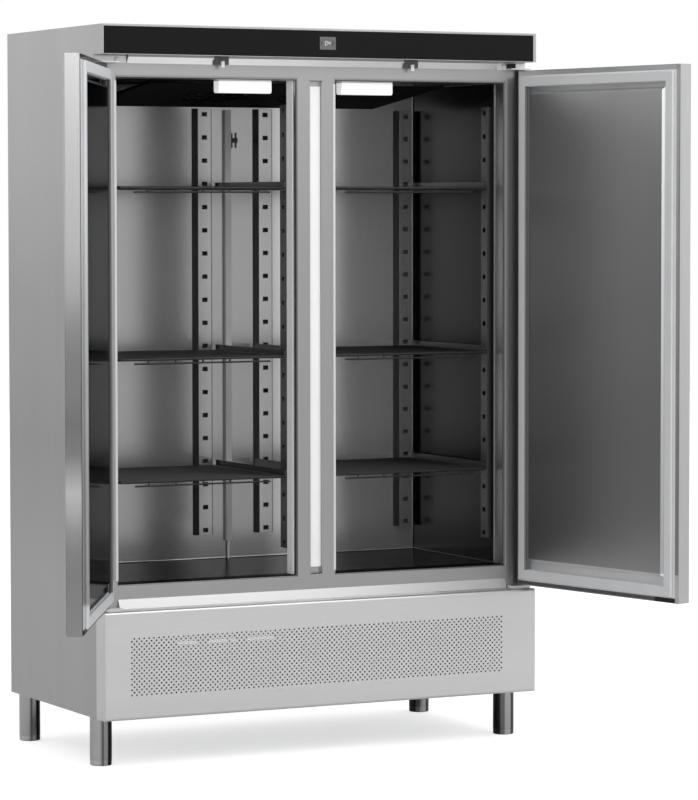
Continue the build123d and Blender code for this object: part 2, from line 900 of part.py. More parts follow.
def evaporator_fan_motors():
    motors = []
    low = blade_base() + blade_hub_height + moving_gap
    for side in (-1, 1):
        can = upright_rod(0, 0, low, low + motor_height, motor_radius)
        shaft = upright_rod(0, 0, blade_base() + 2, low + 1, motor_shaft_radius)
        reach = fan_opening_radius + motor_strap_width
        half = motor_strap_width / 2
        strap = block(-reach, reach, -half, half, low + motor_height - cover_sheet, low + motor_height)
        legs_pair = [block(end * reach - (cover_sheet if end > 0 else 0),
                           end * reach + (0 if end > 0 else cover_sheet), -half, half,
                           cover_sheet, low + motor_height) for end in (-1, 1)]
        motor = can + shaft + strap + legs_pair
        motors.append(tilted(Pos(side * fan_x, fan_centre, 0) * motor))
    return group(motors)


def evaporator_coil():
    length = cover_length / math.cos(math.radians(cover_angle))
    y_high = length - cover_lip
    y_low = y_high - coil_depth
    z_low = cover_lip
    fins = []
    count = int(2 * coil_half_width / coil_fin_pitch)
    for index in range(count + 1):
        x = -coil_half_width + index * 2 * coil_half_width / count
        fins.append(block(x - coil_fin_thickness / 2, x + coil_fin_thickness / 2,
                          y_low, y_high, z_low, z_low + coil_height))
    tubes = []
    for index in range(coil_rows):
        y = y_low + coil_depth * (index + 0.5) / coil_rows
        z = z_low + coil_height / 2
        tubes.append(rod((-coil_half_width - coil_fin_pitch, y, z),
                         (coil_half_width + coil_fin_pitch, y, z), coil_tube_radius))
    return tilted(Part() + tubes + fins)


# Ceiling lamps

def lamp_box(x_extra, z_low, z_high):
    y_low = liner_front + lamp_setback
    return block(lamp_inner_x - x_extra, lamp_inner_x + lamp_length + x_extra,
                 y_low, y_low + lamp_depth, z_low, z_high)


def lamp_housings():
    plate = lamp_box(0, liner_ceiling - lamp_base_height, liner_ceiling)
    return group([plate, mirrored(plate)])


def lamp_covers():
    high = liner_ceiling - lamp_base_height
    cover = lamp_box(0, high - lamp_height, high)
    cover = fillet(cover.edges().filter_by(Axis.X).group_by(Axis.Z)[0], lamp_height / 4)
    y_low = liner_front + lamp_setback + lamp_wall
    hollow = block(lamp_inner_x + lamp_wall, lamp_inner_x + lamp_length - lamp_wall,
                   y_low, y_low + lamp_depth - 2 * lamp_wall, high - lamp_height + lamp_wall, high + 1)
    hollow = fillet(hollow.edges().filter_by(Axis.X).group_by(Axis.Z)[0], lamp_height / 4 - lamp_wall)
    cover -= hollow
    return group([cover, mirrored(cover)])


# Conduit, drain and probe on the rear wall

def drain_y():
    return liner_rear - conduit_sheet - drain_radius - seat_gap


def conduit_top():
    return liner_ceiling - cover_rear_drop - cover_lip


def rear_conduit():
    t = conduit_sheet
    half = conduit_width / 2
    low = sill_z + conduit_below
    channel = block(conduit_x - half, conduit_x + half, conduit_back, liner_rear, low, conduit_top())
    hollow = block(conduit_x - half + t, conduit_x + half - t, conduit_back + t, liner_rear + 1,
                   low - 1, conduit_top() + 1)
    return channel - hollow


def drain_tube():
    low = unit_top_z - drain_below
    tube = upright_rod(conduit_x, drain_y(), low, conduit_top(), drain_radius)
    bore = upright_rod(conduit_x, drain_y(), low - 1, conduit_top() + 1, drain_radius - 1)
    return tube - bore


def temperature_probe():
    z = liner_ceiling - probe_z_drop
    y = liner_rear - probe_clip
    bulb = upright_rod(probe_x, y, z - probe_length / 2, z + probe_length / 2, probe_radius)
    half = probe_clip / 2
    clip = block(probe_x - half, probe_x + half, y, liner_rear, z - half, z + half)
    return bulb + clip


# Machine compartment

def deck_z():
    return leg_height + casing_sheet


def compressor():
    low = deck_z()
    plate = block(compressor_x - compressor_foot_length / 2, compressor_x + compressor_foot_length / 2,
                  compressor_y - compressor_foot_width / 2, compressor_y + compressor_foot_width / 2,
                  low, low + compressor_foot)
    can = upright_rod(compressor_x, compressor_y, low, low + compressor_height, compressor_radius)
    can = fillet(can.edges().sort_by(Axis.Z)[-1], compressor_radius / 2)
    return plate + can + rod((compressor_x, compressor_y, suction_z()),
                             (compressor_x + stub_reach(), compressor_y, suction_z()),
                             pipe_radius + 1) + rod((compressor_x, compressor_y, discharge_z()),
                                                    (compressor_x, compressor_y - stub_reach(),
                                                     discharge_z()), pipe_radius + 1)


def stub_reach():
    return compressor_radius + compressor_foot * 2


def suction_z():
    return deck_z() + compressor_height - compressor_radius * 0.6


def discharge_z():
    return deck_z() + compressor_foot + pipe_bend


def condenser_bounds():
    y_low = front_y + condenser_setback
    return (condenser_x - condenser_width / 2, condenser_x + condenser_width / 2,
            y_low, y_low + condenser_depth, deck_z(), deck_z() + condenser_height)


def condenser_row_z(row):
    return deck_z() + condenser_height * (row + 0.5) / condenser_rows


def condenser():
    x_low, x_high, y_low, y_high, z_low, z_high = condenser_bounds()
    count = int((x_high - x_low) / condenser_fin_pitch)
    fins = []
    for index in range(count + 1):
        x = x_low + index * (x_high - x_low) / count
        fins.append(block(x - condenser_fin_thickness / 2, x + condenser_fin_thickness / 2,
                          y_low, y_high, z_low, z_high))
    tubes = []
    for index in range(condenser_rows):
        z = condenser_row_z(index)
        tubes.append(rod((x_low - condenser_fin_pitch, (y_low + y_high) / 2, z),
                         (x_high + condenser_fin_pitch, (y_low + y_high) / 2, z), condenser_tube_radius))
    shroud = block(x_low, x_high, y_high, y_high + shroud_depth, z_low, z_high)
    shroud -= block(x_low + shroud_sheet, x_high - shroud_sheet, y_high - 1,
                    y_high + shroud_depth - shroud_sheet, z_low + shroud_sheet, z_high - shroud_sheet)
    centre_z = (z_low + z_high) / 2
    shroud -= rod((condenser_x, y_high, centre_z), (condenser_x, y_high + shroud_depth + 1, centre_z),
                  condenser_fan_radius + condenser_blade_gap)
    return Part() + tubes + fins + shroud


def condenser_fan_base():
    x_low, x_high, y_low, y_high, z_low, z_high = condenser_bounds()
    return Pos(condenser_x, y_high + shroud_depth - blade_hub_height, (z_low + z_high) / 2) * Rot(-90, 0, 0)


def condenser_fan_blade():
    return condenser_fan_base() * rotor(condenser_fan_radius, motor_shaft_radius)


def condenser_fan_motor():
    low = blade_hub_height + moving_gap
    can = upright_rod(0, 0, low, low + condenser_motor_height, condenser_motor_radius)
    shaft = upright_rod(0, 0, 2, low + 1, motor_shaft_radius)
    reach = condenser_fan_radius + condenser_blade_gap * 2
    half = motor_strap_width / 2
    strap = block(-reach, reach, -half, half, low, low + shroud_sheet)
    return condenser_fan_base() * (can + shaft + strap)


def evaporation_tray():
    low = deck_z()
    half_x = tray_width / 2
    half_y = tray_depth / 2
    outer = block(tray_x - half_x, tray_x + half_x, tray_y - half_y, tray_y + half_y,
                  low, low + tray_height)
    outer = fillet(outer.edges().filter_by(Axis.Z), tray_wall * 4)
    inner = block(tray_x - half_x + tray_wall, tray_x + half_x - tray_wall, tray_y - half_y + tray_wall,
                  tray_y + half_y - tray_wall, low + tray_wall, low + tray_height + 1)
    inner = fillet(inner.edges().filter_by(Axis.Z), tray_wall * 3)
    return outer - inner


def electrical_box():
    low = deck_z()
    box = block(box_x - box_width / 2, box_x + box_width / 2, box_y - box_depth / 2,
                box_y + box_depth / 2, low, low + box_height)
    socket = inlet_block(0, box_y + box_depth / 2 - 1, rear_y + casing_sheet)
    recess = inlet_block(-frame_sheet * 2, rear_y + casing_sheet - inlet_depth, rear_y + casing_sheet + 1)
    return box + socket - recess


def pipe(points, radius):
    path = FilletPolyline(*points, radius=pipe_bend)
    start = Plane(origin=path @ 0, z_dir=path % 0)
    return sweep(start * Circle(radius), path=path)


def suction_line(radius):
    foam_y = liner_rear + pipe_foam_y
    coil_z = liner_ceiling - cover_rear_drop / 2
    return pipe([(compressor_x + stub_reach(), compressor_y, suction_z()),
                 (pipe_foam_x, compressor_y, suction_z()),
                 (pipe_foam_x, foam_y, suction_z()),
                 (pipe_foam_x, foam_y, coil_z),
                 (pipe_foam_x, liner_rear - cover_rear_gap, coil_z)], radius)


def discharge_line(radius):
    x_low, x_high, y_low, y_high, z_low, z_high = condenser_bounds()
    middle = (y_low + y_high) / 2
    bend_x = x_low - condenser_fin_pitch * 5
    end_z = condenser_row_z(1)
    return pipe([(compressor_x, compressor_y - stub_reach(), discharge_z()),
                 (compressor_x, middle, discharge_z()),
                 (bend_x, middle, discharge_z()),
                 (bend_x, middle, end_z),
                 (x_low - condenser_fin_pitch, middle, end_z)], radius)


def drier_point():
    x_low, x_high, y_low, y_high, z_low, z_high = condenser_bounds()
    return x_high + condenser_fin_pitch * 5, y_high + drier_length, condenser_row_z(condenser_rows - 1)


def condenser_outlet(radius):
    x_low, x_high, y_low, y_high, z_low, z_high = condenser_bounds()
    x, y, z = drier_point()
    middle = (y_low + y_high) / 2
    return pipe([(x_high + condenser_fin_pitch, middle, z), (x, middle, z), (x, y, z)], radius)


def liquid_line(radius):
    x, y, z = drier_point()
    foam_y = liner_rear + pipe_foam_y
    coil_z = liner_ceiling - cover_rear_drop / 2
    return pipe([(x, y + drier_length, z), (x, foam_y, z), (x, foam_y, coil_z),
                 (x, liner_rear - cover_rear_gap, coil_z)], radius)


def refrigerant_lines():
    x, y, z = drier_point()
    drier = rod((x, y, z), (x, y + drier_length, z), drier_radius)
    drier = fillet(drier.edges(), drier_radius / 2)
    return group([suction_line(pipe_radius), discharge_line(pipe_radius),
                  condenser_outlet(pipe_radius) + drier + liquid_line(pipe_radius)])


nodes = {
    "side_panel_left": side_panel(-1),
    "side_panel_right": side_panel(1),
    "back_panel": back_panel(),
    "roof_panel": roof_panel(),
    "base_tray": base_tray(),
    "wall_insulation": wall_insulation(),
    "cabinet_liner": cabinet_liner(),
    "front_frame": front_frame(),
    "mullion": mullion(),
    "mullion_strip": mullion_strip(),
    "mullion_trims": mullion_trims(),
    "shelf_uprights": shelf_uprights(),
    "shelf_runners": shelf_runners(),
    "hinge_brackets": hinge_brackets(),
    "control_housing": control_housing(),
    "control_fascia": control_fascia(),
    "controller": controller(),
    "controller_key_left": controller_key(-1),
    "controller_key_right": controller_key(1),
    "switch_housings": switch_housings(),
    "switch_plunger_left": switch_plunger(-1),
    "switch_plunger_right": switch_plunger(1),
    "lower_panel": lower_panel(),
    "legs": legs(),
    "evaporator_cover": evaporator_cover(),
    "evaporator_coil": evaporator_coil(),
    "evaporator_fan_motors": evaporator_fan_motors(),
    "evaporator_blade_left": evaporator_blade(-1),
    "evaporator_blade_right": evaporator_blade(1),
    "lamp_housings": lamp_housings(),
    "lamp_covers": lamp_covers(),
    "rear_conduit": rear_conduit(),
    "drain_tube": drain_tube(),
    "temperature_probe": temperature_probe(),
    "compressor": compressor(),
    "condenser": condenser(),
    "condenser_fan_motor": condenser_fan_motor(),
    "condenser_fan_blade": condenser_fan_blade(),
    "evaporation_tray": evaporation_tray(),
    "electrical_box": electrical_box(),
    "refrigerant_lines": refrigerant_lines(),
}

for name, side in (("left", -1), ("right", 1)):
    nodes["door_" + name + "_skin"] = opened(door_skin(), side)
    nodes["door_" + name + "_insulation"] = opened(door_insulation(), side)
    nodes["door_" + name + "_inner_panel"] = opened(door_inner_panel(), side)
    nodes["door_" + name + "_gasket"] = opened(door_gasket(), side)

for place, point in leg_points().items():
    nodes["foot_" + place] = levelling_foot(point)

right_shelf = wire_shelf()
left_shelf = mirrored(right_shelf)
for place, row in zip(("bottom", "middle", "top"), shelf_rows):
    level = Pos(0, 0, shelf_level(row))
    nodes["shelf_right_" + place] = level * right_shelf
    nodes["shelf_left_" + place] = level * left_shelf

os.makedirs("parts", exist_ok=True)
for name, shape in nodes.items():
    export_step(shape, "parts/" + name + ".step")
print(len(nodes), "nodes")
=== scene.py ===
import bpy
import bmesh
import json
import math
from mathutils import Matrix, Vector


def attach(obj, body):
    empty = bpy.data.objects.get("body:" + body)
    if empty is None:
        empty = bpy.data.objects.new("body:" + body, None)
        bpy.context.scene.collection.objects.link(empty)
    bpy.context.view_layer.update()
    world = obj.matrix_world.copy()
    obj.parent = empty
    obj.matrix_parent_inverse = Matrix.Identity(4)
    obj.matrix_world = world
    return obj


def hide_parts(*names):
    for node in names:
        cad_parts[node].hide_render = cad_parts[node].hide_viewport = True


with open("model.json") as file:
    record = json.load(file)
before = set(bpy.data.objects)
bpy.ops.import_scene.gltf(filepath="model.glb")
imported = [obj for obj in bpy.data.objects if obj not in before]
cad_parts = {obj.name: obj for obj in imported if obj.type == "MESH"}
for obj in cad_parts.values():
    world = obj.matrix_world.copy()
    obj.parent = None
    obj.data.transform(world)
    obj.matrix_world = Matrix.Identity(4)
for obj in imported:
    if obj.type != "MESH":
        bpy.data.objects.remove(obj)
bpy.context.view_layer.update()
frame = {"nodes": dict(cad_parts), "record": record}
print("frame loaded")


# Camera, where the photographer stood

camera = {
    "place": (-4.5651, -9.4515, 1.567),
    "turn": (math.radians(90 - 3.12), math.radians(0.06), math.radians(-27.09)),
    "lens": 160.97,
    "sensor": 36.0,
}

cameraData = bpy.data.cameras.new("camera")
cameraData.sensor_fit = "VERTICAL"
cameraData.sensor_height = camera["sensor"]
cameraData.sensor_width = camera["sensor"]
cameraData.lens = camera["lens"]
cameraData.clip_end = 60
cameraObject = bpy.data.objects.new("camera", cameraData)
cameraObject.location = camera["place"]
cameraObject.rotation_euler = camera["turn"]
bpy.context.scene.collection.objects.link(cameraObject)
bpy.context.scene.camera = cameraObject
bpy.context.scene.view_settings.view_transform = "Standard"


# Helpers for node trees

def startMaterial(name):
    material = bpy.data.materials.new(name)
    material.use_nodes = True
    tree = material.node_tree
    return material, tree, tree.nodes["Principled BSDF"]


def addNode(tree, kind, **settings):
    node = tree.nodes.new(kind)
    for key, value in settings.items():
        setattr(node, key, value)
    return node


def objectCoordinates(tree, scale=(1, 1, 1)):
    coordinates = addNode(tree, "ShaderNodeTexCoord")
    mapping = addNode(tree, "ShaderNodeMapping")
    mapping.inputs["Scale"].default_value = scale
    tree.links.new(coordinates.outputs["Object"], mapping.inputs["Vector"])
    return mapping.outputs["Vector"]


# Sockets X, Y and Z of the surface's Normal or of its place on the Object
def axesOf(tree, source):
    split = addNode(tree, "ShaderNodeSeparateXYZ")
    tree.links.new(addNode(tree, "ShaderNodeTexCoord").outputs[source], split.inputs["Vector"])
    return split.outputs


def noise(tree, vector, size, detail=3.0, roughness=0.5):
    texture = addNode(tree, "ShaderNodeTexNoise")
    texture.inputs["Scale"].default_value = size
    texture.inputs["Detail"].default_value = detail
    texture.inputs["Roughness"].default_value = roughness
    tree.links.new(vector, texture.inputs["Vector"])
    return texture.outputs["Fac"]


def rangeOf(tree, value, low, high, fromLow=0.3, fromHigh=0.7):
    node = addNode(tree, "ShaderNodeMapRange")
    node.inputs["From Min"].default_value = fromLow
    node.inputs["From Max"].default_value = fromHigh
    node.inputs["To Min"].default_value = low
    node.inputs["To Max"].default_value = high
    tree.links.new(value, node.inputs["Value"])
    return node.outputs["Result"]


def mixColours(tree, factor, first, second):
    node = addNode(tree, "ShaderNodeMix", data_type="RGBA")
    node.inputs["A"].default_value = (*first, 1)
    node.inputs["B"].default_value = (*second, 1)
    tree.links.new(factor, node.inputs["Factor"])
    return node.outputs["Result"]


def combine(tree, operation, first, second):
    node = addNode(tree, "ShaderNodeMath", operation=operation)
    tree.links.new(first, node.inputs[0])
    tree.links.new(second, node.inputs[1])
    return node.outputs[0]


# Paints light or shade: turns the tone towards a share of the plain colour where the factor says so
def paintedShadeTone(tree, factor, tone, colour, share):
    mixed = addNode(tree, "ShaderNodeMix", data_type="RGBA")
    tree.links.new(factor, mixed.inputs["Factor"])
    tree.links.new(tone, mixed.inputs["A"])
    mixed.inputs["B"].default_value = (*(c * share for c in colour), 1)
    return mixed.outputs["Result"]


# The tree, shader and present colour of a material that gets painted light or shade
def colouredParts(material):
    tree = material.node_tree
    shader = tree.nodes["Principled BSDF"]
    return tree, shader, shader.inputs["Base Color"].links[0].from_socket


# Ramp of colours over a factor, each stop a place and a colour
def addRamp(tree, factor, wanted):
    ramp = addNode(tree, "ShaderNodeValToRGB")
    stops = ramp.color_ramp.elements
    while len(stops) < len(wanted):
        stops.new(0.5)
    for stop, (position, colour) in zip(stops, wanted):
        stop.position = position
        stop.color = (*colour, 1)
    tree.links.new(factor, ramp.inputs["Fac"])
    return ramp.outputs["Color"]


# Rounds the sharp edges of folded sheet to the eye, then adds the fine relief
def addRelief(tree, shader, height, distance, strength, edge):
    bump = addNode(tree, "ShaderNodeBump")
    bump.inputs["Distance"].default_value = distance
    bump.inputs["Strength"].default_value = strength
    tree.links.new(height, bump.inputs["Height"])
    if edge:
        rounded = addNode(tree, "ShaderNodeBevel", samples=4)
        rounded.inputs["Radius"].default_value = edge
        tree.links.new(rounded.outputs["Normal"], bump.inputs["Normal"])
    tree.links.new(bump.outputs["Normal"], shader.inputs["Normal"])


# Brushed sheet: fine streaks along the grain, rolled bands, and smudges left by wiping

brush = {
    "streaks": {"along": 9, "across": 1100},
    "bands": {"along": 0.25, "across": 7},
    "smudges": 2.2,
    "relief": 0.00002,
    "strength": 0.3,
}


def grainScale(grain, steps):
    return tuple(steps["along"] if axis == grain else steps["across"] for axis in "xyz")


def brushedSheet(name, colour, roughness=0.32, grain="z", streak=0.05, smudge=0.02, band=0.03, edge=0.0008):
    material, tree, shader = startMaterial(name)
    streaks = noise(tree, objectCoordinates(tree, grainScale(grain, brush["streaks"])), 1.0, 4.0, 0.6)
    bands = noise(tree, objectCoordinates(tree, grainScale(grain, brush["bands"])), 1.0, 3.0, 0.5)
    smudges = noise(tree, objectCoordinates(tree), brush["smudges"], 5.0, 0.5)
    low = tuple(c * (1 - streak - band) for c in colour)
    high = tuple(min(c * (1 + streak + band), 1) for c in colour)
    share = streak / (streak + band)
    mixed = addNode(tree, "ShaderNodeMix", data_type="FLOAT")
    mixed.inputs["Factor"].default_value = share
    tree.links.new(bands, mixed.inputs["A"])
    tree.links.new(streaks, mixed.inputs["B"])
    tone = mixColours(tree, rangeOf(tree, mixed.outputs[0], 0, 1), low, high)
    tree.links.new(tone, shader.inputs["Base Color"])
    gloss = rangeOf(tree, smudges, roughness - smudge, roughness + smudge)
    tree.links.new(gloss, shader.inputs["Roughness"])
    shader.inputs["Metallic"].default_value = 1.0
    addRelief(tree, shader, streaks, brush["relief"], brush["strength"], edge)
    return material


# Sheet with painted shade and light: side walls, floor and ceiling, the right bay and the far right front each
# turn to their share of the plain colour, for how dark or light they stand in the tub, and level faces get a
# painted, dimmed reflection

paintedShadeZones = {
    "rightBay": (0.10, 0.16),
    "farRight": (0.55, 0.56),
    "forward": (0.02, 0.0),
    "wallTurn": 0.25,
    "levelTurn": 0.6,
    "soft": 0.15,
    "dimmedLevelReflection": 0.12,
}


def paintedShadeTubSheet(name, tub):
    colour = tub["colour"]
    material = brushedSheet(name, colour, tub["roughness"], "z", 0.02, 0.01, 0.02)
    tree, shader, tone = colouredParts(material)
    facing = axesOf(tree, "Normal")
    place = axesOf(tree, "Object")
    # Painted light or shade by place: the right bay, and the far right front
    paintedBayMask = rangeOf(tree, place["X"], 0, 1, *paintedShadeZones["rightBay"])
    tone = paintedShadeTone(tree, paintedBayMask, tone, colour, tub["rightBay"])
    farRight = rangeOf(tree, place["X"], 0, 1, *paintedShadeZones["farRight"])
    forward = rangeOf(tree, place["Y"], 0, 1, *paintedShadeZones["forward"])
    tone = paintedShadeTone(tree, combine(tree, "MULTIPLY", farRight, forward), tone, colour, tub["rightFront"])
    # Painted shade or light by facing: left and right walls, ceiling and level faces
    wall, level = paintedShadeZones["wallTurn"], paintedShadeZones["levelTurn"]
    faces = (("X", "leftWall", wall), ("X", "rightWall", -wall), ("Z", "ceiling", -level), ("Z", "level", level))
    for axis, share, turn in faces:
        turned = rangeOf(tree, facing[axis], 0, 1, turn, turn + math.copysign(paintedShadeZones["soft"], turn))
        tone = paintedShadeTone(tree, turned, tone, colour, tub[share])
    tree.links.new(tone, shader.inputs["Base Color"])
    shader.inputs["Metallic"].default_value = tub["metal"]
    # Painted shade in the reflection: level faces mirror only a small share of what they face
    flat = rangeOf(tree, facing["Z"], 0, 1, level, level + paintedShadeZones["soft"])
    dimmedLevelReflection = mixColours(tree, flat, (1, 1, 1), (paintedShadeZones["dimmedLevelReflection"],) * 3)
    tree.links.new(dimmedLevelReflection, shader.inputs["Specular Tint"])
    return material


# Paints light or shade: a share of the present colour where the surface's Normal or its place on the Object runs
# from start to end along an axis, taken back over the pair until
def paintShadeWhere(material, source, axis, start, end, share, until=None):
    tree, shader, tone = colouredParts(material)
    along = axesOf(tree, source)[axis]
    scaled = addNode(tree, "ShaderNodeVectorMath", operation="SCALE")
    tree.links.new(tone, scaled.inputs["Vector"])
    scaled.inputs["Scale"].default_value = share
    mixed = addNode(tree, "ShaderNodeMix", data_type="RGBA")
    factor = rangeOf(tree, along, 0, 1, start, end)
    if until:
        factor = combine(tree, "MULTIPLY", factor, rangeOf(tree, along, 1, 0, *until))
    tree.links.new(factor, mixed.inputs["Factor"])
    tree.links.new(tone, mixed.inputs["A"])
    tree.links.new(scaled.outputs["Vector"], mixed.inputs["B"])
    tree.links.new(mixed.outputs["Result"], shader.inputs["Base Color"])


# Painted light and shade: darker and lighter stretches up the height, painted as if the surface mirrored the room.
# The ramp holds no more than 1, so the shares are divided by brightest and lifted again
def paintLightAndShadeBands(material, low, high, bands, brightest=1.3):
    tree, shader, tone = colouredParts(material)
    stops = [((height - low) / (high - low), (share / brightest,) * 3) for height, share in bands]
    ramp = addRamp(tree, rangeOf(tree, axesOf(tree, "Object")["Z"], 0, 1, low, high), stops)
    lifted = addNode(tree, "ShaderNodeVectorMath", operation="SCALE")
    tree.links.new(ramp, lifted.inputs["Vector"])
    lifted.inputs["Scale"].default_value = brightest
    product = addNode(tree, "ShaderNodeVectorMath", operation="MULTIPLY")
    tree.links.new(tone, product.inputs[0])
    tree.links.new(lifted.outputs["Vector"], product.inputs[1])
    tree.links.new(product.outputs["Vector"], shader.inputs["Base Color"])


def mouldedPlastic(name, colour, roughness=0.4, grain=900.0, relief=0.00003, specular=0.5, edge=0.0006):
    material, tree, shader = startMaterial(name)
    grains = noise(tree, objectCoordinates(tree), grain, 3.0, 0.5)
    clouds = noise(tree, objectCoordinates(tree), 9.0, 3.0, 0.5)
    tone = mixColours(tree, rangeOf(tree, clouds, 0, 1), tuple(c * 0.95 for c in colour), colour)
    tree.links.new(tone, shader.inputs["Base Color"])
    tree.links.new(rangeOf(tree, clouds, roughness - 0.04, roughness + 0.04), shader.inputs["Roughness"])
    shader.inputs["Specular IOR Level"].default_value = specular
    addRelief(tree, shader, grains, relief, 0.4, edge)
    return material


# Bright tube with painted reflections: the open room painted on one side and the dark under the body on the other
def paintedReflectionTube(name, colour, roughness, reflectionsLeft, reflectionsRight, middle=(-0.1, 0.1)):
    material, tree, shader = startMaterial(name)
    turned = rangeOf(tree, axesOf(tree, "Normal")["X"], 0, 1, -1, 1)
    mixed = addNode(tree, "ShaderNodeMix", data_type="RGBA")
    tree.links.new(rangeOf(tree, axesOf(tree, "Object")["X"], 0, 1, *middle), mixed.inputs["Factor"])
    for bands, socket in ((reflectionsLeft, "A"), (reflectionsRight, "B")):
        stops = [(position, tuple(c * share for c in colour)) for position, share in bands]
        tree.links.new(addRamp(tree, turned, stops), mixed.inputs[socket])
    tree.links.new(mixed.outputs["Result"], shader.inputs["Base Color"])
    scratches = noise(tree, objectCoordinates(tree, (700, 700, 12)), 1.0, 4.0, 0.6)
    tree.links.new(rangeOf(tree, scratches, roughness - 0.03, roughness + 0.03), shader.inputs["Roughness"])
    shader.inputs["Metallic"].default_value = 1.0
    addRelief(tree, shader, scratches, 0.00001, 0.2, 0.0006)
    return material


# Opal cover that glows: for the lamp's cover it is lit from behind, for other parts it is a painted glow
def lampCoverOrPaintedGlow(name, colour, glow):
    material = mouldedPlastic(name, colour, 0.35)
    shader = material.node_tree.nodes["Principled BSDF"]
    shader.inputs["Emission Color"].default_value = (1, 1, 1, 1)
    shader.inputs["Emission Strength"].default_value = glow
    return material


# Rigid foam: closed cells with a few larger voids
def cellFoam(name, colour):
    material, tree, shader = startMaterial(name)
    cells = addNode(tree, "ShaderNodeTexVoronoi")
    cells.inputs["Scale"].default_value = 420.0
    tree.links.new(objectCoordinates(tree), cells.inputs["Vector"])
    clouds = noise(tree, objectCoordinates(tree), 14.0, 4.0, 0.6)
    tone = mixColours(tree, rangeOf(tree, clouds, 0, 1), tuple(c * 0.82 for c in colour), colour)
    tree.links.new(tone, shader.inputs["Base Color"])
    shader.inputs["Roughness"].default_value = 0.85
    addRelief(tree, shader, cells.outputs["Distance"], 0.0006, 0.5, 0)
    return material


# Zinc coat: large flat crystals of slightly different tone
def zincSheet(name, colour):
    material, tree, shader = startMaterial(name)
    crystals = addNode(tree, "ShaderNodeTexVoronoi")
    crystals.inputs["Scale"].default_value = 90.0
    tree.links.new(objectCoordinates(tree), crystals.inputs["Vector"])
    shade = addNode(tree, "ShaderNodeSeparateColor")
    tree.links.new(crystals.outputs["Color"], shade.inputs["Color"])
    dark = tuple(c * 0.9 for c in colour)
    bright = tuple(min(c * 1.06, 1) for c in colour)
    tree.links.new(mixColours(tree, shade.outputs["Red"], dark, bright), shader.inputs["Base Color"])
    tree.links.new(rangeOf(tree, shade.outputs["Green"], 0.36, 0.5, 0, 1), shader.inputs["Roughness"])
    shader.inputs["Metallic"].default_value = 1.0
    addRelief(tree, shader, noise(tree, objectCoordinates(tree), 500.0), 0.00003, 0.3, 0.0006)
    return material


# Painted reflections: stops along the tube's turn from its left side to its right side, each with its share of the
# colour
paintedLegReflections = (
    ((0.0, 0.9), (0.24, 0.8), (0.31, 0.62), (0.36, 0.22), (0.42, 0.25), (0.47, 0.62), (0.62, 0.55),
     (0.66, 0.03), (0.85, 0.02), (0.9, 0.75)),
    ((0.0, 0.04), (0.12, 0.05), (0.16, 0.28), (0.3, 0.3), (0.34, 0.75), (0.6, 0.8), (0.66, 0.15),
     (0.84, 0.12), (0.9, 0.7)),
)

# Plain colours of the tub sheets, with the shares of painted shade and light for each zone and facing
tubColoursAndPaintedShades = {
    "frame": {"colour": (0.37, 0.37, 0.372), "roughness": 0.32, "leftWall": 1.0, "rightWall": 1.3, "level": 0.42,
              "rightBay": 1.0, "metal": 1.0, "rightFront": 1.0, "ceiling": 0.8},
    "liner": {"colour": (0.42, 0.42, 0.425), "roughness": 0.2, "leftWall": 0.62, "rightWall": 0.05, "level": 0.16,
              "rightBay": 1.7, "metal": 0.78, "rightFront": 1.7, "ceiling": 0.05},
    "upright": {"colour": (0.45, 0.45, 0.458), "roughness": 0.24, "leftWall": 0.3, "rightWall": 0.3, "level": 0.3,
                "rightBay": 1.0, "metal": 0.78, "rightFront": 0.14, "ceiling": 0.05},
}

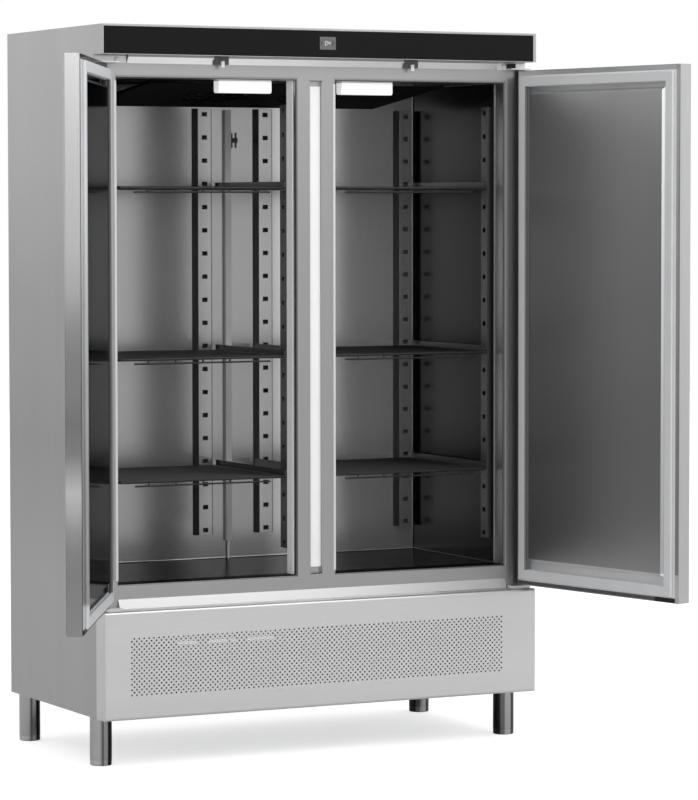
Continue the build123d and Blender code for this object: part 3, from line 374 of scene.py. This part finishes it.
materials = {
    "casing_steel": brushedSheet("casingSteel", (0.385, 0.385, 0.387), 0.36, "z"),
    # The frame, liner and upright sheets carry painted shade and light by place and facing
    "frame_steel": paintedShadeTubSheet("frameSteel", tubColoursAndPaintedShades["frame"]),
    "liner_steel": paintedShadeTubSheet("linerSteel", tubColoursAndPaintedShades["liner"]),
    "door_steel": brushedSheet("doorSteel", (0.42, 0.42, 0.422), 0.3, "z"),
    "door_lining": brushedSheet("doorLining", (0.6, 0.6, 0.605), 0.34, "z", 0.03, 0.01, 0.02),
    "panel_steel": brushedSheet("panelSteel", (0.64, 0.635, 0.638), 0.36, "x", 0.03),
    "upright_steel": paintedShadeTubSheet("uprightSteel", tubColoursAndPaintedShades["upright"]),
    "shelf_wire": brushedSheet("shelfWire", (0.04, 0.04, 0.041), 0.42, "x", 0.05, 0.02, 0.05, 0),
    # Legs and feet carry painted reflections of the room and of the dark under the body
    "leg_steel": paintedReflectionTube("legSteel", (0.52, 0.52, 0.525), 0.14, *paintedLegReflections),
    "foot_plastic": paintedReflectionTube("footSteel", (0.58, 0.58, 0.585), 0.3, *paintedLegReflections),
    "gasket": mouldedPlastic("gasketRubber", (0.62, 0.63, 0.64), 0.5, 500.0),
    "trim_plastic": mouldedPlastic("trimPlastic", (0.8, 0.81, 0.82), 0.4),
    "white_plastic": mouldedPlastic("whitePlastic", (0.93, 0.93, 0.93), 0.35),
    "black_fascia": mouldedPlastic("fasciaPlastic", (0.005, 0.005, 0.0052), 0.16, 1400.0, 0.00001, 0.14),
    "controller": mouldedPlastic("controllerPlastic", (0.12, 0.12, 0.124), 0.4),
    "key": mouldedPlastic("keyPlastic", (0.09, 0.09, 0.095), 0.4),
    "lamp_diffuser": lampCoverOrPaintedGlow("lampCover", (0.95, 0.95, 0.95), 0.55),
    "foam": cellFoam("wallFoam", (0.8, 0.74, 0.55)),
    "galvanised": zincSheet("zincSheet", (0.5, 0.51, 0.52)),
    "copper": brushedSheet("copperTube", (0.75, 0.38, 0.24), 0.25, "z", 0.08, 0.05, 0.08, 0),
    "fin_aluminium": brushedSheet("finSheet", (0.7, 0.7, 0.71), 0.35, "x", 0.05, 0.03, 0.03, 0),
    "black_enamel": mouldedPlastic("blackEnamel", (0.015, 0.015, 0.015), 0.35),
    "blade_plastic": mouldedPlastic("bladePlastic", (0.02, 0.02, 0.022), 0.4),
    # The evaporator cover is coloured near black: painted shade for the dark ceiling zone
    "cover_white": mouldedPlastic("coverPaintedShade", (0.004, 0.004, 0.0042), 0.75, 700.0, 0.00004, 0.05),
    "box_grey": mouldedPlastic("boxPlastic", (0.2, 0.2, 0.21), 0.5),
}

slotOf = {entry["node"]: entry["material_slot"] for entry in frame["record"]["subparts"]}
for nodeName, nodeObject in frame["nodes"].items():
    nodeObject.data.materials.clear()
    nodeObject.data.materials.append(materials[slotOf[nodeName]])

# The left door's panel is polished, and its mirror image of the dark inside is painted: a dark colour and a dimmed
# reflection, painted lighter towards its free edge, and its free border painted brightest
paintedReflectionLining = brushedSheet("paintedReflectionLining", (0.115, 0.115, 0.117), 0.1, "z", 0.02, 0.01, 0.02)
paintedReflectionLining.node_tree.nodes["Principled BSDF"].inputs["Specular Tint"].default_value = (0.25, 0.25, 0.25, 1)
paintShadeWhere(paintedReflectionLining, "Object", "Y", -0.40, -0.90, 3.4)
paintShadeWhere(paintedReflectionLining, "Object", "Y", -0.9255, -0.9257, 2.4)

# Painted shade and light: the frame's rounded edges and upward faces are painted darker against their highlights,
# the liner's back is painted darker beside the centre post, the casing's sides are painted darkest at half height
# as painted reflections of the room, and the lower panel's upper lip is painted darker against its highlight
paintShadeWhere(materials["frame_steel"], "Normal", "X", -0.15, -0.3, 0.25, (-0.8, -0.9))
paintShadeWhere(materials["frame_steel"], "Normal", "Z", 0.12, 0.28, 0.3)
paintShadeWhere(materials["liner_steel"], "Object", "X", -0.10, -0.03, 0.88, (0.10, 0.16))
paintedCasingReflections = ((0.1, 1.08), (0.5, 1.05), (0.9, 0.8), (1.3, 0.82), (1.7, 1.0), (2.1, 1.08))
paintLightAndShadeBands(materials["casing_steel"], 0.1, 2.1, paintedCasingReflections)
paintShadeWhere(materials["panel_steel"], "Normal", "Z", 0.25, 0.5, 0.85, (0.9, 0.95))

# The conduit and the hinge plates are brighter, the centre post's trims get a painted glow for the lamps' light
# they catch, and the switches sit in dark housings
conduitPlastic = mouldedPlastic("conduitPlastic", (0.5, 0.5, 0.505), 0.35)
trimPaintedGlow = lampCoverOrPaintedGlow("mullionTrimPaintedGlow", (0.8, 0.81, 0.82), 0.11)
plateSteel = brushedSheet("plateSteel", (0.62, 0.62, 0.625), 0.34, "x", 0.03, 0.02, 0.03)
switchPlastic = mouldedPlastic("switchPlastic", (0.10, 0.10, 0.102), 0.45)

# Door skins with painted light: the left one is painted with reflections of darker stretches of the room, the
# right one's edge is painted lighter where it faces the light
paintedRoomReflections = ((0.453, 0.62), (0.618, 0.55), (0.67, 0.58), (0.721, 0.73), (0.773, 1.0), (0.824, 1.22),
             (0.876, 0.84), (0.927, 0.52), (1.005, 0.45), (1.082, 0.53), (1.185, 0.545), (1.236, 0.61),
             (1.288, 0.74), (1.34, 0.89), (1.443, 1.02), (1.958, 1.08))
leftEdgePaintedReflection = brushedSheet("leftEdgePaintedReflection", (0.42, 0.42, 0.422), 0.3, "z")
paintLightAndShadeBands(leftEdgePaintedReflection, 0.453, 1.958, paintedRoomReflections)
rightEdgePaintedLight = brushedSheet("rightEdgePaintedLight", (0.42, 0.42, 0.422), 0.3, "z")
paintShadeWhere(rightEdgePaintedLight, "Normal", "Y", -0.7, -0.9, 1.36)

# The right door's lining is painted darker downwards as shade, its lower border is painted pale as a highlight,
# and a strip at its free edge is painted slightly darker
paintedLightLining = brushedSheet("paintedLightLining", (0.6, 0.6, 0.605), 0.34, "z", 0.03, 0.01, 0.02)
paintedLiningShades = ((0.45, 0.75), (0.62, 0.75), (0.9, 0.85), (1.2, 0.97), (1.7, 1.1), (1.95, 1.15))
paintLightAndShadeBands(paintedLightLining, 0.45, 1.95, paintedLiningShades)
paintShadeWhere(paintedLightLining, "Object", "Z", 0.5325, 0.5305, 1.9)
paintShadeWhere(paintedLightLining, "Object", "Y", -0.983, -0.985, 0.8)

ownMaterials = {
    "door_left_inner_panel": paintedReflectionLining,
    "door_right_inner_panel": paintedLightLining,
    "door_left_skin": leftEdgePaintedReflection,
    "door_right_skin": rightEdgePaintedLight,
    "rear_conduit": conduitPlastic,
    "mullion_trims": trimPaintedGlow,
    "hinge_brackets": plateSteel,
    "switch_housings": switchPlastic,
    # The insulation foam is coloured near black: painted shade where it shows through
    "wall_insulation": cellFoam("seamFoamPaintedShade", (0.08, 0.08, 0.08)),
}
for nodeName, material in ownMaterials.items():
    frame["nodes"][nodeName].data.materials.clear()
    frame["nodes"][nodeName].data.materials.append(material)
print("materials assigned")


# Finished pieces: mesh at the origin, riding on a body, with one or two materials

def finishPiece(name, shape, body, material, replaced=(), second=None):
    mesh = bpy.data.meshes.new(name)
    bmesh.ops.recalc_face_normals(shape, faces=shape.faces)
    shape.to_mesh(mesh)
    shape.free()
    mesh.materials.append(material)
    if second:
        mesh.materials.append(second)
    piece = bpy.data.objects.new(name, mesh)
    bpy.context.scene.collection.objects.link(piece)
    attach(piece, body)
    if replaced:
        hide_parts(*replaced)
    return piece


def roundEdges(shape, edges, width, steps=2):
    bmesh.ops.bevel(shape, geom=edges, offset=width, offset_type="OFFSET", segments=steps,
                    profile=0.5, affect="EDGES", clamp_overlap=True, material=-1)


# Doors as they stand in the photograph, turned about their pivots

doors = {
    "left": {"pivot": (-0.669, -0.346), "turn": -119.2, "body": "door_left", "mirror": 1},
    "right": {"pivot": (0.669, -0.346), "turn": 101.5, "body": "door_right", "mirror": -1},
}


def doorMatrix(door):
    pivot = Vector((*door["pivot"], 0))
    turn = Matrix.Rotation(math.radians(door["turn"]), 4, "Z")
    mirrored = Matrix.Diagonal((door["mirror"], 1, 1, 1))
    return Matrix.Translation(pivot) @ turn @ Matrix.Translation(-pivot) @ mirrored


# Door gaskets: a foot in its groove, two soft folds and the magnet strip in its rounded sleeve

gasket = {
    "low": (-0.668, 0.466),
    "high": (-0.017, 1.943),
    "back": -0.335,
    "profile": ((0.0, 0.0), (0.033, 0.0), (0.033, 0.0022), (0.0300, 0.0034), (0.0276, 0.0048), (0.0276, 0.0062),
                (0.0312, 0.0074), (0.0322, 0.0092), (0.0322, 0.0128), (0.0304, 0.0146), (0.0046, 0.0146),
                (0.0027, 0.0128), (0.0027, 0.0092), (0.0035, 0.0074), (0.0068, 0.0062), (0.0068, 0.0048),
                (0.0036, 0.0034), (0.0, 0.0022)),
    "soft": 0.0005,
    "flank": (0.02, 0.035),
}


def gasketRing(settings):
    shape = bmesh.new()
    xLow, zLow = settings["low"]
    xHigh, zHigh = settings["high"]
    rings = []
    for cornerX, cornerZ, stepX, stepZ in ((xLow, zLow, 1, 1), (xHigh, zLow, -1, 1), (xHigh, zHigh, -1, -1),
                                           (xLow, zHigh, 1, -1)):
        loop = [shape.verts.new((cornerX + stepX * u, settings["back"] + v, cornerZ + stepZ * u))
                for u, v in settings["profile"]]
        rings.append([shape.edges.new((loop[i - 1], loop[i])) for i in range(len(loop))])
    for i in range(4):
        bmesh.ops.bridge_loops(shape, edges=rings[i - 1] + rings[i])
    bmesh.ops.remove_doubles(shape, verts=shape.verts, dist=0.00001)
    corners = {edge for ring in rings for edge in ring if edge.is_valid}
    along = [edge for edge in shape.edges if edge not in corners]
    roundEdges(shape, along, settings["soft"], 1)
    bmesh.ops.recalc_face_normals(shape, faces=shape.faces)
    # Painted shade: the hinge-side bar's flank, facing across the door, takes the second, darker material
    flankLow, flankHigh = (xLow + reach for reach in settings["flank"])
    for face in shape.faces:
        if face.normal.x > 0.3 and flankLow < face.calc_center_median().x < flankHigh:
            face.material_index = 1
    return shape


# Darker rubber painted as shade on the gaskets' hinge-side flanks, and the left gasket painted lighter and darker
# up its height
flankPaintedShade = mouldedPlastic("flankPaintedShade", (0.16, 0.162, 0.165), 0.6, 500.0)
leftRubberPaintedShade = mouldedPlastic("leftRubberPaintedShade", (0.62, 0.63, 0.64), 0.5, 500.0)
paintedRubberShades = ((0.45, 1.0), (0.525, 1.0), (0.535, 0.45), (0.82, 0.5), (1.08, 0.6), (1.34, 0.78), (1.6, 1.05),
               (1.95, 1.1))
paintLightAndShadeBands(leftRubberPaintedShade, 0.45, 1.95, paintedRubberShades)
rubbers = {"left": leftRubberPaintedShade, "right": materials["gasket"]}
for side, door in doors.items():
    shape = gasketRing(gasket)
    bmesh.ops.transform(shape, matrix=doorMatrix(door), verts=shape.verts)
    finishPiece("gasketProfile_" + side, shape, door["body"], rubbers[side],
                ("door_" + side + "_gasket",), flankPaintedShade)
print("gaskets made")


# Strips under the doors' lower lips: a black catch at the free corner, and over the rest a dark strip that paints
# the shade there

catches = {"low": (-0.097, -0.3349, 0.4525), "high": (-0.018, -0.3325, 0.4645), "round": 0.001}
lipShadeStrips = {"low": (-0.680, -0.3349, 0.4530), "high": (-0.099, -0.3336, 0.4640), "round": 0.0005}
stripPaintedShade = mouldedPlastic("stripPaintedShade", (0.085, 0.085, 0.087), 0.55, 700.0, 0.00003, 0.3)
catchPlastic = mouldedPlastic("catchPlastic", (0.008, 0.008, 0.008), 0.5, 700.0, 0.00003, 0.3)


def addBlock(shape, middle, size):
    made = bmesh.ops.create_cube(shape, size=1.0)
    bmesh.ops.scale(shape, vec=size, verts=made["verts"])
    bmesh.ops.translate(shape, vec=middle, verts=made["verts"])
    return made["verts"]


def addBox(shape, low, high, rounding=0.0):
    corners = addBlock(shape, [(a + b) / 2 for a, b in zip(low, high)], [b - a for a, b in zip(low, high)])
    if rounding:
        edges = list({edge for vert in corners for edge in vert.link_edges})
        roundEdges(shape, edges, rounding)


for side, door in doors.items():
    for name, strip, plastic in (("catchStrip_", catches, catchPlastic), ("lipShadeStrip_", lipShadeStrips, stripPaintedShade)):
        shape = bmesh.new()
        addBox(shape, strip["low"], strip["high"], strip["round"])
        bmesh.ops.transform(shape, matrix=doorMatrix(door), verts=shape.verts)
        finishPiece(name + side, shape, door["body"], plastic)


# Black block at the right upper hinge plate, and below the places of the white caps over the plates' screws

hingeCaps = {
    "block": ((0.623, -0.3455, 1.9643), (0.6405, -0.3236, 1.9785)),
    "blockRound": 0.002,
    "screws": ((-0.6170, -0.3233, 1.9705), (0.6135, -0.3233, 1.9695)),
    "radius": 0.0072,
    "height": 0.0035,
}
shape = bmesh.new()
addBox(shape, *hingeCaps["block"], hingeCaps["blockRound"])
finishPiece("hingeBlock", shape, "cabinet", catchPlastic)
print("catches made")


# Strips over the sloping ledges below and above the doors, lighter than the frame, painted highlights where the
# ledges catch the light, and a thin pale sheet on the left part of the lower panel's top, a painted reflection

ledges = {
    "lift": 0.0004,
    "sheet": 0.0003,
    "lower": ((-0.3202, 0.4686), (-0.3319, 0.4422)),
    "upper": ((-0.3319, 1.978), (-0.3201, 1.9604)),
    "lowerSpans": ((-0.6185, 0.6185),),
    "shelf": ((-0.6185, -0.3770, 0.4421), (0.38, -0.3325, 0.4424)),
    "shelfMetal": 0.35,
    "upperSpans": ((-0.5855, -0.3242), (-0.2778, 0.2778), (0.3242, 0.5855)),
}

# Painted highlights on the ledges and a painted reflection on the panel's top, made as lighter sheets
sillPaintedHighlight = brushedSheet("sillPaintedHighlight", (0.43, 0.43, 0.433), 0.42, "x", 0.02, 0.01, 0.02, 0.0002)
shelfPaintedReflection = brushedSheet("shelfPaintedReflection", (0.8, 0.8, 0.805), 0.5, "x", 0.02, 0.01, 0.02, 0)
shelfPaintedReflection.node_tree.nodes["Principled BSDF"].inputs["Metallic"].default_value = ledges["shelfMetal"]
headerPaintedHighlight = brushedSheet("headerPaintedHighlight", (0.95, 0.95, 0.955), 0.3, "x", 0.02, 0.01, 0.02, 0.0002)


def pullFace(shape, face, travel):
    grown = bmesh.ops.extrude_face_region(shape, geom=[face])
    moved = [item for item in grown["geom"] if isinstance(item, bmesh.types.BMVert)]
    bmesh.ops.translate(shape, verts=moved, vec=travel)
    return moved


def ledgeStrip(shape, start, end, xLow, xHigh, lift, sheet):
    along = Vector((0, end[0] - start[0], end[1] - start[1])).normalized()
    out = along.cross(Vector((1, 0, 0)))
    if out.y > 0:
        out = -out
    corners = []
    for y, z, rise in ((*start, lift), (*end, lift), (*end, lift + sheet), (*start, lift + sheet)):
        corners.append(shape.verts.new(Vector((xLow, y, z)) + out * rise))
    pullFace(shape, shape.faces.new(corners), (xHigh - xLow, 0, 0))


for name, spans, line, steel in (("sillStrip", "lowerSpans", "lower", sillPaintedHighlight),
                                 ("headerStrips", "upperSpans", "upper", headerPaintedHighlight)):
    shape = bmesh.new()
    for xLow, xHigh in ledges[spans]:
        ledgeStrip(shape, *ledges[line], xLow, xHigh, ledges["lift"], ledges["sheet"])
    finishPiece(name, shape, "cabinet", steel)

shape = bmesh.new()
addBox(shape, *ledges["shelf"])
finishPiece("sillShelf", shape, "cabinet", shelfPaintedReflection)


# Pale beads round the openings' left edges: painted highlights on their rounded edges

beads = {
    "centres": ((0.057, -0.312), (-0.623, -0.312)),
    "radii": (0.0081, 0.0085),
    "arc": (-100, 5),
    "steps": 10,
    "low": 0.5205,
    "high": 1.9115,
}

beadPaintedHighlight = mouldedPlastic("beadPaintedHighlight", (0.74, 0.745, 0.75), 0.4)
shape = bmesh.new()
inner, outer = beads["radii"]
first, last = beads["arc"]
turns = [first + (last - first) * i / beads["steps"] for i in range(beads["steps"] + 1)]
for x, y in beads["centres"]:
    ring = []
    for radius, order in ((outer, turns), (inner, turns[::-1])):
        for degrees in order:
            angle = math.radians(degrees)
            along, deep = radius * math.cos(angle), radius * math.sin(angle)
            ring.append(shape.verts.new((x + along, y + deep, beads["low"])))
    pullFace(shape, shape.faces.new(ring), (0, 0, beads["high"] - beads["low"]))
finishPiece("edgeHighlightBeads", shape, "cabinet", beadPaintedHighlight)
print("ledges made")


# Display: a smoked window with two plain figures made of bars

display = {
    "centre": (0.005, 2.0235),
    "face": -0.3860,
    "window": (0.0274, 0.0194),
    "barWide": 0.0011,
    "digit": (0.0060, 0.0108),
    "gap": 0.0034,
    "figures": "04",
    "lean": 0.10,
    "windowThick": 0.0004,
    "windowRound": 0.0012,
    "barThick": 0.00015,
    "barLift": 0.00005,
    "glow": 0.35,
}

windowGlass = mouldedPlastic("displayWindow", (0.26, 0.27, 0.28), 0.16, 2400.0, 0.00001, 0.5, 0)
litBar, litTree, litShader = startMaterial("litBar")
litGrain = noise(litTree, objectCoordinates(litTree), 1500.0)
litTree.links.new(mixColours(litTree, rangeOf(litTree, litGrain, 0, 1), (0.62, 0.66, 0.68), (0.8, 0.84, 0.86)),
                  litShader.inputs["Base Color"])
litShader.inputs["Emission Color"].default_value = (0.8, 0.88, 0.9, 1)
litShader.inputs["Emission Strength"].default_value = display["glow"]
litShader.inputs["Roughness"].default_value = 0.4


shape = bmesh.new()
middleX, middleZ = display["centre"]
thick = display["windowThick"]
addBlock(shape, (middleX, display["face"] + thick, middleZ), (display["window"][0], thick, display["window"][1]))
deepEdges = [e for e in shape.edges if abs((e.verts[0].co - e.verts[1].co).y) > thick / 2]
roundEdges(shape, deepEdges, display["windowRound"], 3)
finishPiece("displayWindow", shape, "cabinet", windowGlass)

segments = {"0": "abcdef", "4": "fgbc"}
shape = bmesh.new()
width, height = display["digit"]
thick = display["barWide"]
for index, figure in enumerate(display["figures"]):
    middle = middleX + (index - 0.5) * (width + display["gap"])
    places = {"a": (0, height / 2, False), "g": (0, 0, False), "d": (0, -height / 2, False),
              "f": (-width / 2, height / 4, True), "b": (width / 2, height / 4, True),
              "e": (-width / 2, -height / 4, True), "c": (width / 2, -height / 4, True)}
    for letter in segments[figure]:
        dx, dz, stands = places[letter]
        bar = height / 2 - thick if stands else width - thick
        size = (thick, display["barThick"], bar) if stands else (bar, display["barThick"], thick)
        leaned = middle + dx + dz * display["lean"]
        addBlock(shape, (leaned, display["face"] + display["barLift"], middleZ + dz), size)
finishPiece("displayFigures", shape, "cabinet", litBar)
print("display made")


# White caps over the screws of the upper hinge plates, domed towards the front

def domedHead(shape, place, radius, height):
    made = bmesh.ops.create_circle(shape, cap_ends=True, segments=20, radius=radius)
    top = pullFace(shape, made["verts"][0].link_faces[0], (0, 0, height * 0.45))
    cap = [f for f in top[0].link_faces if all(v in top for v in f.verts)]
    inner = bmesh.ops.inset_individual(shape, faces=cap, thickness=radius * 0.45, depth=height * 0.4)
    whole = list(set(made["verts"]) | set(top) | {v for f in cap + inner["faces"] for v in f.verts})
    forward = Matrix.Rotation(math.pi / 2, 4, "X")
    bmesh.ops.transform(shape, matrix=Matrix.Translation(place) @ forward, verts=whole)


shape = bmesh.new()
for place in hingeCaps["screws"]:
    domedHead(shape, place, hingeCaps["radius"], hingeCaps["height"])
finishPiece("hingeScrewCaps", shape, "cabinet", materials["white_plastic"])
print("caps made")


# Floor, world and lamps

stage = {
    "floorColour": (0.84, 0.84, 0.84),
    "reach": 16.0,
    "lift": 0.56,
    "roomLight": 0.72,
    "whiteSeen": 1.0,
}

floorMesh = bpy.data.meshes.new("floor")
floorShape = bmesh.new()
bmesh.ops.create_grid(floorShape, x_segments=1, y_segments=1, size=stage["reach"])
floorShape.to_mesh(floorMesh)
floorShape.free()
floorObject = bpy.data.objects.new("floor", floorMesh)
bpy.context.scene.collection.objects.link(floorObject)

floorMaterial, floorTree, floorShader = startMaterial("floor")
floorShader.inputs["Base Color"].default_value = (*stage["floorColour"], 1)
floorShader.inputs["Roughness"].default_value = 0.9
floorPath = addNode(floorTree, "ShaderNodeLightPath")
floorShader.inputs["Emission Color"].default_value = (1, 1, 1, 1)
floorTree.links.new(rangeOf(floorTree, floorPath.outputs["Is Camera Ray"], 0, stage["lift"], 0, 1),
                    floorShader.inputs["Emission Strength"])
floorMesh.materials.append(floorMaterial)

world = bpy.data.worlds.new("studio")
world.use_nodes = True
bpy.context.scene.world = world
worldTree = world.node_tree
background = worldTree.nodes["Background"]
lightPath = addNode(worldTree, "ShaderNodeLightPath")
seen = combine(worldTree, "MAXIMUM", lightPath.outputs["Is Camera Ray"], lightPath.outputs["Is Glossy Ray"])
seenThrough = combine(worldTree, "MAXIMUM", seen, lightPath.outputs["Is Transmission Ray"])
worldTree.links.new(rangeOf(worldTree, seenThrough, stage["roomLight"], stage["whiteSeen"], 0, 1),
                    background.inputs["Strength"])
background.inputs["Color"].default_value = (1, 1, 1, 1)


lamps = {
    "keyLamp": {"place": (-3.2, -4.8, 3.6), "target": (0, 0, 1.1), "size": (2.4, 2.4), "power": 60},
    "overheadLamp": {"place": (1.3, -2.9, 3.6), "target": (0, -0.3, 0.6), "size": (2.6, 2.0), "power": 45},
}

for name, lamp in lamps.items():
    data = bpy.data.lights.new(name, "AREA")
    data.shape = "RECTANGLE"
    data.size, data.size_y = lamp["size"]
    data.energy = lamp["power"]
    lampObject = bpy.data.objects.new(name, data)
    lampObject.location = lamp["place"]
    aim = Vector(lamp["target"]) - Vector(lamp["place"])
    lampObject.rotation_euler = aim.to_track_quat("-Z", "Y").to_euler()
    bpy.context.scene.collection.objects.link(lampObject)
print("stage set")
